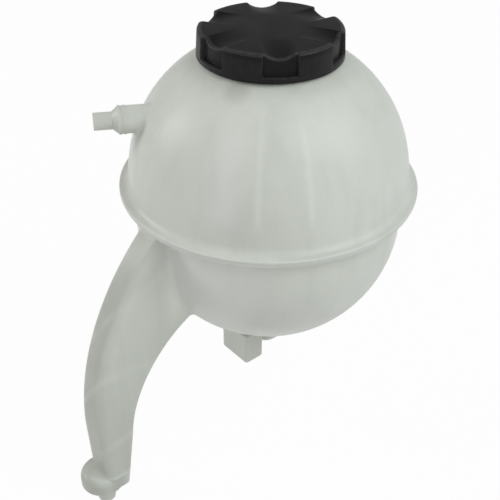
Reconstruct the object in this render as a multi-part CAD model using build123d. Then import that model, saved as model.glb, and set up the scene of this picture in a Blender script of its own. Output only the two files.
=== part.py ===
from build123d import *

import os
from math import asin, atan2, cos, degrees, isclose, radians, sin, sqrt, tan

# Coolant expansion tank: two welded ball halves on a curved leg, closed by a screw cap
# that carries a pressure valve and a vacuum valve.
# Frame: origin on the foot pin's axis at the foot's shoulder, +Z up, +X towards the tank.
# Inside this file the tank is drawn about its own axis, with z = 0 on top of the weld flange.
# Sizes are in millimetres, angles in degrees.

# Where the tank stands over its foot
FOOT_REACH = 45.3
FLANGE_TOP_Z = 160.7

# Ball halves and weld flange
WALL = 2.8
DOME_R = 74.7
DOME_CENTRE_Z = 3.4
BOWL_INSET = 2.2
BOWL_CENTRE_Z = -19.0
FLANGE_LIP = 5.3
FLANGE_THICKNESS = 1.8
FLANGE_STEP = 0.5
FLANGE_FILLET = 4.5
FLANGE_EDGE = 0.6
BOWL_FILLET = 5.0

# Filler neck
NECK_R = 27.0
NECK_BORE_R = 23.2
NECK_SHELF_R = 35.0
NECK_HEIGHT = 8.66
NECK_SKIRT_LENGTH = 19.0
NECK_SKIRT_WALL = 2.4
NECK_FILLET = 1.2
NECK_EDGE = 0.5

# Ribs inside the dome
RIB_ANGLES = (204.0, 225.0, 243.5)
RIB_THICKNESS = 1.8
RIB_DEPTH = 2.4
RIB_LOW_TILT = 11.7
RIB_HIGH_TILT = 51.9

# Small vent spigot on the dome, pointing straight out
VENT_ANGLE = 150.0
VENT_Z = 39.7
VENT_BARREL_R = 7.1
VENT_BARREL_LENGTH = 12.1
VENT_CONE_LENGTH = 3.0
VENT_NOZZLE_R = 4.5
VENT_NOZZLE_LENGTH = 9.4
VENT_BORE_R = 2.6
VENT_RING_HEIGHT = 0.3
VENT_RING_WIDTH = 1.2
VENT_RING_STEP = 2.6
VENT_BLEND = 2.0

# Outlet elbow and spigot under the bowl
OUTLET_DROP = 13.0
OUTLET_ELBOW_SWELL = 0.7
OUTLET_R = 9.6
OUTLET_STOP = 34.0
OUTLET_TIP = 62.0
OUTLET_WALL = 2.4
OUTLET_TIP_CHAMFER = 0.8

# Hook block under the bowl
HOOK_X = -18.0
HOOK_LENGTH = 22.8
HOOK_THICKNESS = 13.2
HOOK_DROP = 24.6
HOOK_ROUND = 2.0
HOOK_SLOT_DEPTH = 6.9
HOOK_SLOT_DROP = 4.0
HOOK_SLOT_HEIGHT = 4.5

# Curved leg: a channel open at the back, between two arcs
LEG_WIDTH = 17.0
LEG_WALL = 2.6
LEG_ROUND = 3.0
LEG_OUTER_ROUND = 5.0
LEG_OUTER_R = 152.0
LEG_OUTER_REACH = 2.7
LEG_OUTER_ARC_DROP = 110.1
LEG_INNER_R = 77.0
LEG_INNER_REACH = 17.3
LEG_INNER_ARC_RISE = 7.0
LEG_FOOT_OUTER_REACH = 1.0
LEG_FOOT_INNER_REACH = 11.9
LEG_FOOT_ROUND = 1.8
LEG_ROOT_TILT = 37.45
LEG_ROOT_SINK = 9.5
LEG_BLEND = 3.5
LEG_RIB_THICKNESS = 2.2
LEG_RIB_HEIGHTS = (38.0, 85.0, 130.0)

# Foot and its locating pin
FOOT_R = 12.5
FOOT_OFFSET_X = 1.0
FOOT_HEIGHT = 10.0
FOOT_TOP_ROUND = 4.5
FOOT_LOW_ROUND = 1.2
PIN_R = 5.0
PIN_LENGTH = 10.0
PIN_CHAMFER = 1.5

# Screw cap
CAP_R = 37.0
CAP_DRAFT = 3.5
CAP_DOME_GAP = 0.6
CAP_ROOF = 4.0
CAP_TOP_ROUND = 0.8
CAP_LOBE_ROUND = 0.9
CAP_RIM_HEIGHT = 3.0
CAP_RIM_ROUND = 0.5
CAP_RIM_INSET = 0.3
CAP_SKIRT_BORE_R = 29.3
CAP_SKIRT_WALL = 2.3
CAP_GRIPS = 6
CAP_GRIP_ANGLE = -4.2
CAP_GRIP_WIDTH = 19.0
CAP_GRIP_DEPTH = 2.7
CAP_SCOOP_DEPTH = 3.3
CAP_SCOOP_START_R = 17.0
CAP_CORE_WALL = 2.2
CAP_CORE_ROOF = 4.0

# Valve insert hung inside the cap
INSERT_GAP = 0.6
INSERT_WALL = 4.1
INSERT_FLANGE_R = 28.6
INSERT_FLANGE_THICKNESS = 2.0
INSERT_LENGTH = 21.0
INSERT_FLOOR = 2.0
SEAT_HEIGHT = 0.6
SEAT_WIDTH = 1.2
SEAT_EDGE = 0.8
SEAL_WIRE_R = 1.25
SEAL_DROP = 12.0
SEAL_PLAY = 0.1
VENT_HOLES = 4
VENT_HOLE_R = 1.6
VENT_HOLE_DROP = 5.0
VENT_NOTCH_WIDTH = 4.0
VENT_NOTCH_DEPTH = 0.8

# Ring that holds the insert in the cap
RING_GROOVE_DEPTH = 0.6
RING_HEIGHT = 1.4
RING_PLAY = 0.2
RING_NECK_GAP = 0.6

# Lid of the insert, which the pressure spring pushes against
LID_THICKNESS = 2.5
LID_SINK = 1.4
LID_STEP = 1.4
LID_PLAY = 0.1
LID_GUIDE_HEIGHT = 2.2
LID_GUIDE_WALL = 2.0
LID_HOLE_R = 1.5

# Pressure valve
PLATE_MARGIN = 1.5
PLATE_THICKNESS = 2.0
PLATE_GUIDE_WALL = 1.2
PLATE_GUIDE_HEIGHT = 2.0
PLATE_VENT_R = 0.9
PLATE_VENT_PITCH_R = 3.0
PLATE_VENTS = 4
PAD_MARGIN = 2.8
PAD_BORE_R = 4.4
PAD_THICKNESS = 1.4
PRESSURE_COIL_R = 11.4
PRESSURE_WIRE_R = 0.8
PRESSURE_TURNS = 4.0

# Vacuum valve through the middle of the pressure valve
STEM_R = 1.6
STEM_PLAY = 0.15
STEM_OVERRUN = 1.0
VACUUM_DISC_MARGIN = 2.2
VACUUM_DISC_GAP = 1.6
VACUUM_DISC_THICKNESS = 1.4
CLIP_MARGIN = 0.4
CLIP_THICKNESS = 0.8
VACUUM_COIL_R = 4.9
VACUUM_WIRE_R = 0.3
VACUUM_TURNS = 4.0
VACUUM_COIL_LENGTH = 5.4


def ball_radius(radius, centre_z, z):
    """Radius of a ball at a height."""
    return sqrt(radius ** 2 - (z - centre_z) ** 2)


def ball_height(radius, centre_z, r):
    """Height of a ball's upper half at a radius."""
    return centre_z + sqrt(radius ** 2 - r ** 2)


# Heights and radii of the tank that follow from these
WELD_Z = -FLANGE_THICKNESS
FLANGE_LOW_Z = -2 * FLANGE_THICKNESS
SHOULDER_Z = -FLANGE_TOP_Z
TANK_AXIS_X = DOME_R + FOOT_REACH
FLANGE_R = DOME_R + FLANGE_LIP
BOWL_R = DOME_R - BOWL_INSET
DOME_INNER_R = DOME_R - WALL
BOWL_INNER_R = BOWL_R - WALL
BOWL_BOTTOM_Z = BOWL_CENTRE_Z - BOWL_R
LEG_ROOT_X = -(BOWL_R - LEG_ROOT_SINK) * cos(radians(LEG_ROOT_TILT))
LEG_ROOT_Z = BOWL_CENTRE_Z - (BOWL_R - LEG_ROOT_SINK) * sin(radians(LEG_ROOT_TILT))
RIB_LOW_Z = DOME_CENTRE_Z + DOME_INNER_R * sin(radians(RIB_LOW_TILT))
RIB_HIGH_Z = DOME_CENTRE_Z + DOME_INNER_R * sin(radians(RIB_HIGH_TILT))
OUTLET_Z = BOWL_BOTTOM_Z - OUTLET_DROP
HOOK_BOTTOM_Z = BOWL_BOTTOM_Z - HOOK_DROP
NECK_SHELF_Z = ball_height(DOME_R, DOME_CENTRE_Z, NECK_SHELF_R)
NECK_TOP_Z = NECK_SHELF_Z + NECK_HEIGHT
TANK = Location((TANK_AXIS_X, 0, FLANGE_TOP_Z))

# Heights and radii of the cap and its valves that follow from these
CAP_BOTTOM_Z = NECK_SHELF_Z + CAP_DOME_GAP
CAP_CEILING_Z = NECK_TOP_Z + INSERT_FLANGE_THICKNESS
CAP_TOP_Z = CAP_CEILING_Z + CAP_ROOF
CAP_SKIRT_R = CAP_SKIRT_BORE_R + CAP_SKIRT_WALL
CAP_RIM_TOP_Z = CAP_BOTTOM_Z + CAP_RIM_HEIGHT
CAP_TOP_R = CAP_R - (CAP_TOP_Z - CAP_BOTTOM_Z) * tan(radians(CAP_DRAFT))
RING_TOP_Z = NECK_TOP_Z - RING_PLAY
RING_LOW_Z = RING_TOP_Z - RING_HEIGHT
INSERT_R = NECK_BORE_R - INSERT_GAP
INSERT_BORE_R = INSERT_R - INSERT_WALL
INSERT_BOTTOM_Z = NECK_TOP_Z - INSERT_LENGTH
INSERT_FLOOR_Z = INSERT_BOTTOM_Z + INSERT_FLOOR
VACUUM_DISC_R = PAD_BORE_R + VACUUM_DISC_MARGIN
INSERT_ORIFICE_R = VACUUM_DISC_R + VACUUM_DISC_GAP
SEAT_R = INSERT_ORIFICE_R + SEAT_EDGE + SEAT_WIDTH
SEAT_Z = INSERT_FLOOR_Z + SEAT_HEIGHT
SEAL_Z = NECK_TOP_Z - SEAL_DROP
PAD_R = SEAT_R + PAD_MARGIN
PLATE_R = PAD_R + PLATE_MARGIN
PLATE_LOW_Z = SEAT_Z + PAD_THICKNESS
PLATE_TOP_Z = PLATE_LOW_Z + PLATE_THICKNESS
LID_R = INSERT_BORE_R + LID_STEP
LID_TOP_Z = CAP_CEILING_Z - LID_SINK
LID_LOW_Z = LID_TOP_Z - LID_THICKNESS
GUIDE_R = PRESSURE_COIL_R - PRESSURE_WIRE_R - LID_PLAY
CLIP_LOW_Z = PLATE_TOP_Z + VACUUM_COIL_LENGTH


def turn(*corners):
    """Solid of revolution about the tank axis from (radius, height) corners."""
    return revolve(make_face(Polyline(*[(r, 0, z) for r, z in corners], close=True)), Axis.Z)


def ring(inner_r, outer_r, low_z, high_z):
    """Plain tube about the tank axis."""
    return turn((inner_r, low_z), (outer_r, low_z), (outer_r, high_z), (inner_r, high_z))


def disc(radius, low_z, high_z):
    """Plain disc about the tank axis."""
    return Pos(0, 0, low_z) * Cylinder(radius, high_z - low_z, align=(Align.CENTER, Align.CENTER, Align.MIN))


def ball_arc(radius, centre_z, start_z, end_z):
    """Meridian of a ball between two heights."""
    start, end = [asin((z - centre_z) / radius) for z in (start_z, end_z)]
    angles = (start, (start + end) / 2, end)
    return ThreePointArc(*[(radius * cos(a), 0, centre_z + radius * sin(a)) for a in angles])


def rounded(face, corner, radius):
    """Profile with one (radius, height) corner rounded."""
    nearest = face.vertices().sort_by_distance((corner[0], 0, corner[1]))[0]
    return fillet(nearest, radius)


def around(count, start, shape):
    """Copies of a shape turned about the tank axis."""
    return [Rot(0, 0, start + 360 * i / count) * shape for i in range(count)]


def coil(coil_r, wire_r, turns, low_z, high_z):
    """Round-wire coil spring standing between two seats."""
    height = high_z - low_z - 2 * wire_r
    path = Helix(pitch=height / turns, height=height, radius=coil_r)
    section = Plane(origin=path @ 0, z_dir=path % 0) * Circle(wire_r)
    return Pos(0, 0, low_z + wire_r) * sweep(section, path, is_frenet=True)


def ball_joint(body, radius, centre_z):
    """Edges where something on the foot's side runs into a ball."""
    centre = Vector(0, 0, centre_z)
    shares = (0.1, 0.5, 0.9)
    slack = 0.02

    def on_ball(edge):
        return all(isclose((edge @ share - centre).length, radius, abs_tol=slack) for share in shares)

    return [edge for edge in body.edges() if edge.bounding_box().max.X < 0 and on_ball(edge)]


def upper_shell():
    """Dome with the filler neck, the vent spigot and the upper half of the weld flange."""
    inner_weld = (ball_radius(DOME_INNER_R, DOME_CENTRE_Z, WELD_Z), WELD_Z)
    dome_root = (ball_radius(DOME_R, DOME_CENTRE_Z, 0), 0)
    shelf_edge = (NECK_SHELF_R, NECK_SHELF_Z)
    neck_root = (NECK_R, NECK_SHELF_Z)
    skirt_z = NECK_TOP_Z - NECK_SKIRT_LENGTH
    skirt_r = NECK_BORE_R + NECK_SKIRT_WALL
    shelf_low_z = NECK_SHELF_Z - WALL
    shelf_low_edge = (ball_radius(DOME_INNER_R, DOME_CENTRE_Z, shelf_low_z), shelf_low_z)
    skirt_root = (skirt_r, shelf_low_z)
    flange_edge = (FLANGE_R, 0)
    neck_rim = (NECK_R, NECK_TOP_Z)
    flange = [inner_weld, (FLANGE_R, WELD_Z), flange_edge, dome_root]
    neck = [shelf_edge, neck_root, neck_rim, (NECK_BORE_R, NECK_TOP_Z), (NECK_BORE_R, skirt_z),
            (skirt_r, skirt_z), skirt_root, shelf_low_edge]
    edges = [
        Polyline(*[(r, 0, z) for r, z in flange]),
        ball_arc(DOME_R, DOME_CENTRE_Z, dome_root[1], shelf_edge[1]),
        Polyline(*[(r, 0, z) for r, z in neck]),
        ball_arc(DOME_INNER_R, DOME_CENTRE_Z, shelf_low_edge[1], inner_weld[1]),
    ]
    profile = make_face(edges)
    profile = rounded(profile, flange_edge, FLANGE_EDGE)
    profile = rounded(profile, dome_root, FLANGE_FILLET)
    profile = rounded(profile, neck_root, NECK_FILLET)
    profile = rounded(profile, neck_rim, NECK_EDGE)
    shell = revolve(profile, Axis.Z)

    dome_centre = Pos(0, 0, DOME_CENTRE_Z)
    rib_zone = dome_centre * (Sphere(DOME_INNER_R + WALL / 2) - Sphere(DOME_INNER_R - RIB_DEPTH))
    rib_middle = Pos(DOME_R / 2, 0, (RIB_LOW_Z + RIB_HIGH_Z) / 2)
    rib = rib_zone & rib_middle * Box(DOME_R, RIB_THICKNESS, RIB_HIGH_Z - RIB_LOW_Z)
    shell += [Rot(0, 0, angle) * rib for angle in RIB_ANGLES]

    spigot, bore = vent_spigot()
    shell += spigot - dome_centre * Sphere(DOME_R - WALL / 2)
    return fillet(ball_joint(shell, DOME_R, DOME_CENTRE_Z), VENT_BLEND) - bore


def vent_spigot():
    """Stepped spigot and its bore, both along their own direction out of the dome."""
    root = DOME_R / 2
    barrel_end = ball_radius(DOME_R, DOME_CENTRE_Z, VENT_Z) + VENT_BARREL_LENGTH
    tip = barrel_end + VENT_CONE_LENGTH + VENT_NOZZLE_LENGTH
    solid = disc(VENT_BARREL_R, root, barrel_end) + disc(VENT_NOZZLE_R, root, tip)
    cone = Cone(VENT_BARREL_R, VENT_NOZZLE_R, VENT_CONE_LENGTH)
    solid += Pos(0, 0, barrel_end + VENT_CONE_LENGTH / 2) * cone
    for ring_end in (barrel_end, barrel_end - VENT_RING_STEP):
        solid += disc(VENT_BARREL_R + VENT_RING_HEIGHT, ring_end - VENT_RING_WIDTH, ring_end)
    place = Pos(0, 0, VENT_Z) * Rot(0, 0, VENT_ANGLE) * Rot(0, 90, 0)
    return place * solid, place * disc(VENT_BORE_R, root, tip)


def leg_outline():
    """Side view of the leg, from inside the bowl's wall down to the foot's shoulder."""
    out_x = LEG_OUTER_R - TANK_AXIS_X - LEG_OUTER_REACH
    out_z = FLANGE_LOW_Z - LEG_OUTER_ARC_DROP
    in_x = LEG_INNER_R - TANK_AXIS_X + LEG_INNER_REACH
    root_rise = sqrt(LEG_INNER_R ** 2 - (LEG_ROOT_X - in_x) ** 2)
    in_z = LEG_ROOT_Z - root_rise
    top_angle = 180 - degrees(asin(LEG_OUTER_ARC_DROP / LEG_OUTER_R))
    root_angle = 180 - degrees(atan2(root_rise, in_x - LEG_ROOT_X))
    low_angle = 180 - degrees(asin(LEG_INNER_ARC_RISE / LEG_INNER_R))

    def on_outer(angle):
        return (out_x + LEG_OUTER_R * cos(radians(angle)), 0, out_z + LEG_OUTER_R * sin(radians(angle)))

    def on_inner(angle):
        return (in_x + LEG_INNER_R * cos(radians(angle)), 0, in_z + LEG_INNER_R * sin(radians(angle)))

    outer = ThreePointArc(on_outer(top_angle), on_outer((top_angle + 180) / 2), on_outer(180))
    inner = ThreePointArc(on_inner(low_angle), on_inner((low_angle + root_angle) / 2), on_inner(root_angle))
    foot_outer = (-TANK_AXIS_X - LEG_FOOT_OUTER_REACH, 0, SHOULDER_Z)
    foot_inner = (-TANK_AXIS_X + LEG_FOOT_INNER_REACH, 0, SHOULDER_Z)
    foot_end = Polyline(on_outer(180), foot_outer, foot_inner, on_inner(low_angle))
    root = Polyline(on_inner(root_angle), (LEG_ROOT_X, 0, FLANGE_LOW_Z), on_outer(top_angle))
    return rounded(make_face([outer, foot_end, inner, root]), (foot_inner[0], SHOULDER_Z), LEG_FOOT_ROUND)


def leg():
    """Leg beam, the channel hollowed into it from +Y, and the ribs across that channel."""
    outline = leg_outline()
    half = LEG_WIDTH / 2
    beam = extrude(outline, amount=half, dir=(0, 1, 0), both=True)
    web = beam.faces().sort_by(Axis.Y)[0]
    outer_edges = [edge for edge in web.edges() if edge.bounding_box().min.X < -TANK_AXIS_X
                   and edge.bounding_box().size.Z > LEG_ROUND]
    beam = fillet(outer_edges, LEG_OUTER_ROUND)
    web = beam.faces().sort_by(Axis.Y)[0]
    foot_x = LEG_OUTER_ROUND - TANK_AXIS_X
    root_x = LEG_ROOT_X - LEG_ROUND
    inner_edges = [edge for edge in web.edges() if foot_x < edge.bounding_box().min.X < root_x
                   and edge.bounding_box().min.Z < FLANGE_LOW_Z - LEG_ROUND]
    beam = fillet(inner_edges, LEG_ROUND)
    channel = offset(outline, -LEG_WALL, kind=Kind.INTERSECTION)
    hollow = Pos(0, LEG_WALL + half, 0) * extrude(channel, amount=LEG_WIDTH, dir=(0, 1, 0), both=True)
    span = DOME_R + TANK_AXIS_X
    plate = Pos(0, 0, SHOULDER_Z) * Box(2 * span, LEG_WIDTH, LEG_RIB_THICKNESS)
    cross_ribs = [hollow & Pos(0, 0, height) * plate for height in LEG_RIB_HEIGHTS]
    return beam, hollow, cross_ribs


def foot():
    """Round foot at the end of the leg, with the locating pin under it."""
    low = (Align.CENTER, Align.CENTER, Align.MIN)
    pad = Cylinder(FOOT_R, FOOT_HEIGHT, align=low)
    pad = fillet(pad.edges().sort_by(Axis.Z)[-1], FOOT_TOP_ROUND)
    pad = fillet(pad.edges().sort_by(Axis.Z)[0], FOOT_LOW_ROUND)
    pin = Pos(0, 0, -PIN_LENGTH) * Cylinder(PIN_R, PIN_LENGTH, align=low)
    pin = chamfer(pin.edges().sort_by(Axis.Z)[0], PIN_CHAMFER)
    pad_y = FOOT_R - LEG_WIDTH / 2
    place = Pos(-TANK_AXIS_X, 0, SHOULDER_Z)
    return place * (Pos(FOOT_OFFSET_X, pad_y, 0) * pad) + place * pin


def hook():
    """Block under the bowl, with a slot that hooks over a bracket's edge."""
    top_z = BOWL_BOTTOM_Z + 2 * WALL
    height = top_z - HOOK_BOTTOM_Z
    low = (Align.CENTER, Align.CENTER, Align.MIN)
    block = Box(HOOK_THICKNESS, HOOK_LENGTH, height, align=low)
    block = fillet(block.edges().filter_by(Axis.Z) + block.faces().sort_by(Axis.Z)[0].edges(), HOOK_ROUND)
    slot = Box(2 * HOOK_THICKNESS, 2 * HOOK_SLOT_DEPTH, HOOK_SLOT_HEIGHT, align=low)
    slot = Pos(0, -HOOK_LENGTH / 2, HOOK_DROP - HOOK_SLOT_DROP) * slot
    return Pos(HOOK_X, 0, HOOK_BOTTOM_Z) * (block - slot)


def outlet():
    """Elbow and straight spigot under the bowl, and the passage through them."""
    bore_r = OUTLET_R - OUTLET_WALL
    elbow_r = OUTLET_R + OUTLET_ELBOW_SWELL
    rise = BOWL_CENTRE_Z - OUTLET_Z
    low = (Align.CENTER, Align.CENTER, Align.MIN)
    spigot = Cylinder(OUTLET_R, OUTLET_TIP, align=low)
    spigot = chamfer(spigot.edges().sort_by(Axis.Z)[-1], OUTLET_TIP_CHAMFER)
    stub_height = BOWL_BOTTOM_Z + WALL - OUTLET_Z
    solid = Sphere(elbow_r) + Cylinder(elbow_r, stub_height, align=low)
    solid += Rot(0, 90, 0) * (Cylinder(elbow_r, OUTLET_STOP, align=low) + spigot)
    passage = Sphere(bore_r) + Cylinder(bore_r, rise, align=low)
    passage += Rot(0, 90, 0) * Cylinder(bore_r, OUTLET_TIP, align=low)
    place = Pos(0, 0, OUTLET_Z)
    return place * solid, place * passage


def lower_shell():
    """Bowl with the lower half of the weld flange, the leg, the foot, the hook and the outlet."""
    flange_r = FLANGE_R - FLANGE_STEP
    bowl_root = (ball_radius(BOWL_R, BOWL_CENTRE_Z, FLANGE_LOW_Z), FLANGE_LOW_Z)
    inner_weld = (ball_radius(BOWL_INNER_R, BOWL_CENTRE_Z, WELD_Z), WELD_Z)
    flange = [(0, WELD_Z), (flange_r, WELD_Z), (flange_r, FLANGE_LOW_Z), bowl_root]
    outside = make_face([
        Polyline(*[(r, 0, z) for r, z in flange]),
        ball_arc(BOWL_R, BOWL_CENTRE_Z, FLANGE_LOW_Z, BOWL_BOTTOM_Z),
        Line((0, 0, BOWL_BOTTOM_Z), (0, 0, WELD_Z)),
    ])
    outside = rounded(outside, (flange_r, FLANGE_LOW_Z), FLANGE_EDGE)
    filled_out = rounded(outside, bowl_root, BOWL_FILLET)
    cavity = make_face([
        Line((0, 0, WELD_Z), (inner_weld[0], 0, WELD_Z)),
        ball_arc(BOWL_INNER_R, BOWL_CENTRE_Z, WELD_Z, BOWL_CENTRE_Z - BOWL_INNER_R),
        Line((0, 0, BOWL_CENTRE_Z - BOWL_INNER_R), (0, 0, WELD_Z)),
    ])
    spigot, passage = outlet()
    bowl = revolve(outside, Axis.Z)
    beam, hollow, cross_ribs = leg()
    body = fillet(ball_joint(bowl + beam, BOWL_R, BOWL_CENTRE_Z), LEG_BLEND)
    body = body - (hollow - bowl) + cross_ribs + foot() + hook() + spigot
    return body + revolve(filled_out, Axis.Z) - revolve(cavity, Axis.Z) - passage


def cap_outline(radius):
    """Lobed outline of the cap, with a grip notch between each two lobes."""
    notch = Pos(radius, 0) * Rectangle(radius, CAP_GRIP_WIDTH) - Circle(radius - CAP_GRIP_DEPTH)
    flat = Circle(radius) - around(CAP_GRIPS, CAP_GRIP_ANGLE, notch)
    return fillet(flat.vertices(), CAP_LOBE_ROUND)


def cap_scoop():
    """Round cutter that slopes down from the cap's top into one grip notch."""
    half = CAP_GRIP_WIDTH / 2
    scoop_r = (half ** 2 + CAP_SCOOP_DEPTH ** 2) / (2 * CAP_SCOOP_DEPTH)
    slope = degrees(atan2(CAP_SCOOP_DEPTH, CAP_TOP_R - CAP_GRIP_DEPTH - CAP_SCOOP_START_R))
    lift = scoop_r / cos(radians(slope))
    return Pos(CAP_SCOOP_START_R, 0, CAP_TOP_Z + lift) * Rot(0, 90 + slope, 0) * Cylinder(scoop_r, 4 * CAP_R)


def cap_shell():
    """Lobed screw cap, cored from below, with the skirt that carries its thread."""
    lobes = loft([Pos(0, 0, CAP_BOTTOM_Z) * cap_outline(CAP_R),
                  Pos(0, 0, CAP_TOP_Z) * cap_outline(CAP_TOP_R)], ruled=True)
    lobes = fillet(lobes.faces().sort_by(Axis.Z)[-1].edges(), CAP_TOP_ROUND)
    lobes -= around(CAP_GRIPS, CAP_GRIP_ANGLE, cap_scoop())
    rim_r = CAP_R - CAP_RIM_INSET
    rim_top_r = rim_r - CAP_RIM_HEIGHT * tan(radians(CAP_DRAFT))
    rim = make_face(Polyline((0, 0, CAP_BOTTOM_Z), (rim_r, 0, CAP_BOTTOM_Z),
                             (rim_top_r, 0, CAP_RIM_TOP_Z), (0, 0, CAP_RIM_TOP_Z), close=True))
    rim = revolve(rounded(rim, (rim_top_r, CAP_RIM_TOP_Z), CAP_RIM_ROUND), Axis.Z)
    inside = disc(CAP_SKIRT_BORE_R, CAP_BOTTOM_Z, CAP_CEILING_Z)
    groove = ring(CAP_SKIRT_BORE_R, CAP_SKIRT_BORE_R + RING_GROOVE_DEPTH, RING_LOW_Z, RING_TOP_Z)

    lobe_angle = radians(180 / CAP_GRIPS) - asin(CAP_GRIP_WIDTH / 2 / CAP_SKIRT_R)
    lobe_width = 2 * CAP_SKIRT_R * sin(lobe_angle)
    core = ring(CAP_SKIRT_R, CAP_TOP_R - CAP_CORE_WALL, CAP_BOTTOM_Z, CAP_TOP_Z - CAP_CORE_ROOF)
    core = core & Pos(CAP_R, 0, CAP_BOTTOM_Z) * Box(CAP_R, lobe_width - 2 * CAP_CORE_WALL, CAP_TOP_Z)
    cores = around(CAP_GRIPS, CAP_GRIP_ANGLE + 180 / CAP_GRIPS, core)
    return rim + lobes - inside - groove - cores


def retaining_ring():
    """Split-free snap ring in the cap's groove, under the insert's flange."""
    return ring(NECK_R + RING_NECK_GAP, CAP_SKIRT_BORE_R + RING_GROOVE_DEPTH, RING_LOW_Z, RING_TOP_Z)


def valve_housing():
    """Cup that plugs into the neck: flange, seal groove, vents and the pressure valve's seat."""
    body = turn((INSERT_ORIFICE_R, INSERT_BOTTOM_Z), (INSERT_R, INSERT_BOTTOM_Z), (INSERT_R, NECK_TOP_Z),
                (INSERT_FLANGE_R, NECK_TOP_Z), (INSERT_FLANGE_R, CAP_CEILING_Z), (LID_R, CAP_CEILING_Z),
                (LID_R, LID_LOW_Z), (INSERT_BORE_R, LID_LOW_Z), (INSERT_BORE_R, INSERT_FLOOR_Z),
                (SEAT_R, INSERT_FLOOR_Z), (SEAT_R, SEAT_Z), (SEAT_R - SEAT_WIDTH, SEAT_Z),
                (SEAT_R - SEAT_WIDTH, INSERT_FLOOR_Z), (INSERT_ORIFICE_R, INSERT_FLOOR_Z))
    groove_r = NECK_BORE_R - 2 * SEAL_PLAY - 2 * SEAL_WIRE_R
    groove_half = SEAL_WIRE_R + 2 * SEAL_PLAY
    body -= ring(groove_r, NECK_BORE_R, SEAL_Z - groove_half, SEAL_Z + groove_half)
    vent = Rot(0, 90, 0) * Cylinder(VENT_HOLE_R, 2 * INSERT_WALL + INSERT_GAP)
    vent = Pos(INSERT_R, 0, NECK_TOP_Z - VENT_HOLE_DROP) * vent
    notch = Pos(INSERT_FLANGE_R, 0, NECK_TOP_Z) * Box(
        2 * (INSERT_FLANGE_R - INSERT_R), VENT_NOTCH_WIDTH, 2 * VENT_NOTCH_DEPTH)
    return body - around(VENT_HOLES, 0, vent) - around(VENT_HOLES, 0, notch)


def neck_seal():
    """Rubber O-ring between the insert and the bore of the neck."""
    return Pos(0, 0, SEAL_Z) * Torus(NECK_BORE_R - SEAL_PLAY - SEAL_WIRE_R, SEAL_WIRE_R)


def spring_lid():
    """Vented lid pressed into the insert, with a collar that centres the pressure spring."""
    lid = disc(LID_R - LID_PLAY, LID_LOW_Z, LID_TOP_Z)
    lid += ring(GUIDE_R - LID_GUIDE_WALL, GUIDE_R, LID_LOW_Z - LID_GUIDE_HEIGHT, LID_LOW_Z)
    pitch_r = (PRESSURE_COIL_R + PRESSURE_WIRE_R + LID_R) / 2
    hole = Pos(pitch_r, 0, LID_LOW_Z) * Cylinder(LID_HOLE_R, 4 * LID_THICKNESS)
    return lid - around(VENT_HOLES, 180 / VENT_HOLES, hole)


def pressure_plate():
    """Valve plate that the pressure spring holds down, with vents round the vacuum valve's stem."""
    plate = disc(PLATE_R, PLATE_LOW_Z, PLATE_TOP_Z)
    plate += ring(GUIDE_R - PLATE_GUIDE_WALL, GUIDE_R, PLATE_TOP_Z, PLATE_TOP_Z + PLATE_GUIDE_HEIGHT)
    plate -= disc(STEM_R + STEM_PLAY, PLATE_LOW_Z, PLATE_TOP_Z)
    vent = Pos(PLATE_VENT_PITCH_R, 0, PLATE_LOW_Z) * Cylinder(PLATE_VENT_R, 4 * PLATE_THICKNESS)
    return plate - around(PLATE_VENTS, 0, vent)


def pressure_pad():
    """Rubber washer under the plate, which closes on the seat and on the vacuum valve."""
    return ring(PAD_BORE_R, PAD_R, SEAT_Z, PLATE_LOW_Z)


def pressure_spring():
    """Main spring between the lid and the plate."""
    return coil(PRESSURE_COIL_R, PRESSURE_WIRE_R, PRESSURE_TURNS, PLATE_TOP_Z, LID_LOW_Z)


def vacuum_valve():
    """Small disc under the pad, on a stem that runs up through the plate."""
    stem_top = CLIP_LOW_Z + CLIP_THICKNESS + STEM_OVERRUN
    return disc(VACUUM_DISC_R, SEAT_Z - VACUUM_DISC_THICKNESS, SEAT_Z) + disc(STEM_R, SEAT_Z, stem_top)


def stem_clip():
    """Push-on washer at the top of the stem, which the vacuum spring lifts."""
    return ring(STEM_R, VACUUM_COIL_R + VACUUM_WIRE_R + CLIP_MARGIN, CLIP_LOW_Z, CLIP_LOW_Z + CLIP_THICKNESS)


def vacuum_spring():
    """Light spring between the plate and the clip."""
    return coil(VACUUM_COIL_R, VACUUM_WIRE_R, VACUUM_TURNS, PLATE_TOP_Z, CLIP_LOW_Z)


PIECES = (upper_shell, lower_shell, cap_shell, retaining_ring, valve_housing, neck_seal, spring_lid,
          pressure_plate, pressure_pad, pressure_spring, vacuum_valve, stem_clip, vacuum_spring)

os.makedirs("parts", exist_ok=True)
for make_piece in PIECES:
    export_step(TANK * make_piece(), f"parts/{make_piece.__name__}.step")
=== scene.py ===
from math import cos, pi, radians, sin

import bpy
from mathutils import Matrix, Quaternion, Vector


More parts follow.
